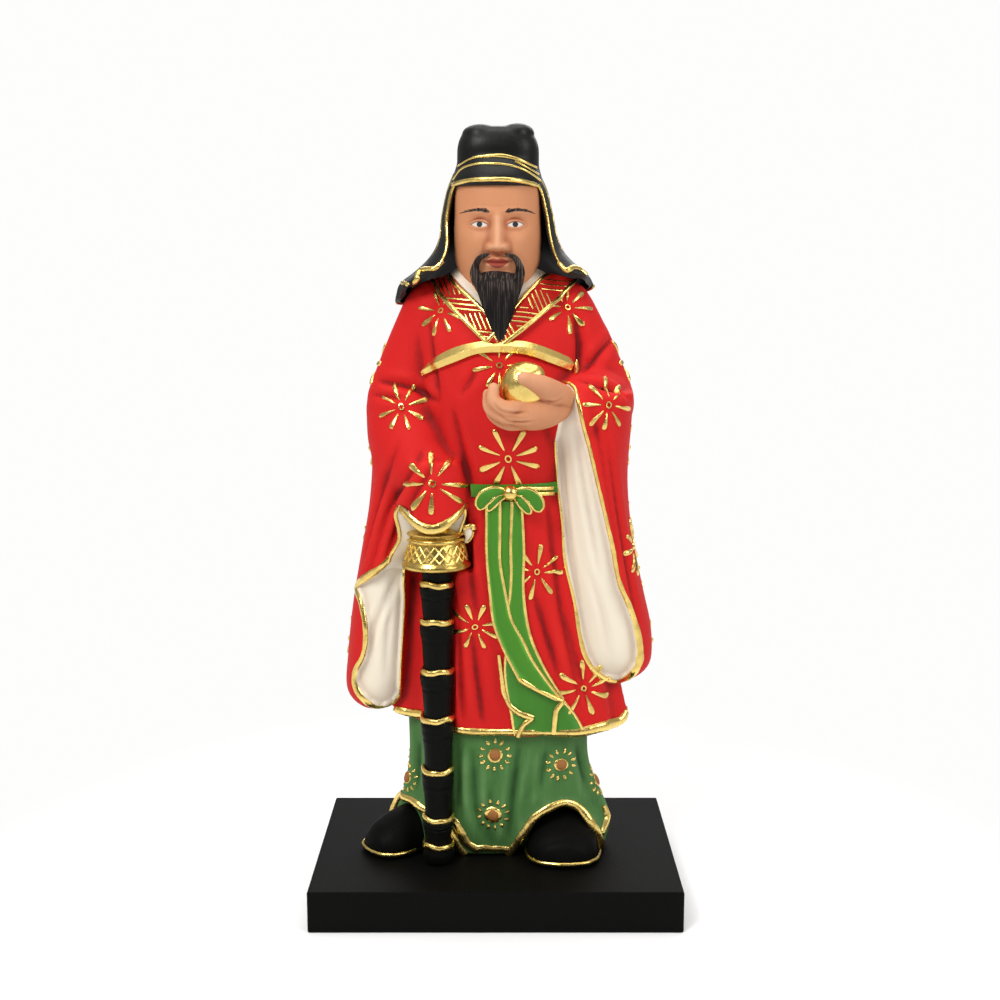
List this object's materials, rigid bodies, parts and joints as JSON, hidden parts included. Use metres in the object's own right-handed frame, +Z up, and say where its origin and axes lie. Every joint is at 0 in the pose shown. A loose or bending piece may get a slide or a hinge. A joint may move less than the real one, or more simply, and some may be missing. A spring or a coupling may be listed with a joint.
{
  "type": "robed deity figure on a plinth",
  "caption": "Standing carved and painted wooden figure of a bearded robed elder with a gilt jewel, leaning on a segmented rod, on a flat rectangular plinth.",
  "frame": {"origin": "centre of the plinth's underside", "axes": "+Z up; the figure faces -Y, and +X is towards its left hand"},
  "size_m": [0.14, 0.095, 0.2973],
  "materials": {
    "plinth_lacquer": "matt black lacquer on wood",
    "robe_red": "matt mineral paint on carved wood, with gold leaf lines",
    "rod_black": "satin black paint on turned wood, with gold leaf rings and guard"
  },
  "bodies": {
    "root": {"plinth": "plinth_lacquer", "figure": "robe_red", "rod": "rod_black"}
  },
  "joints": []
}
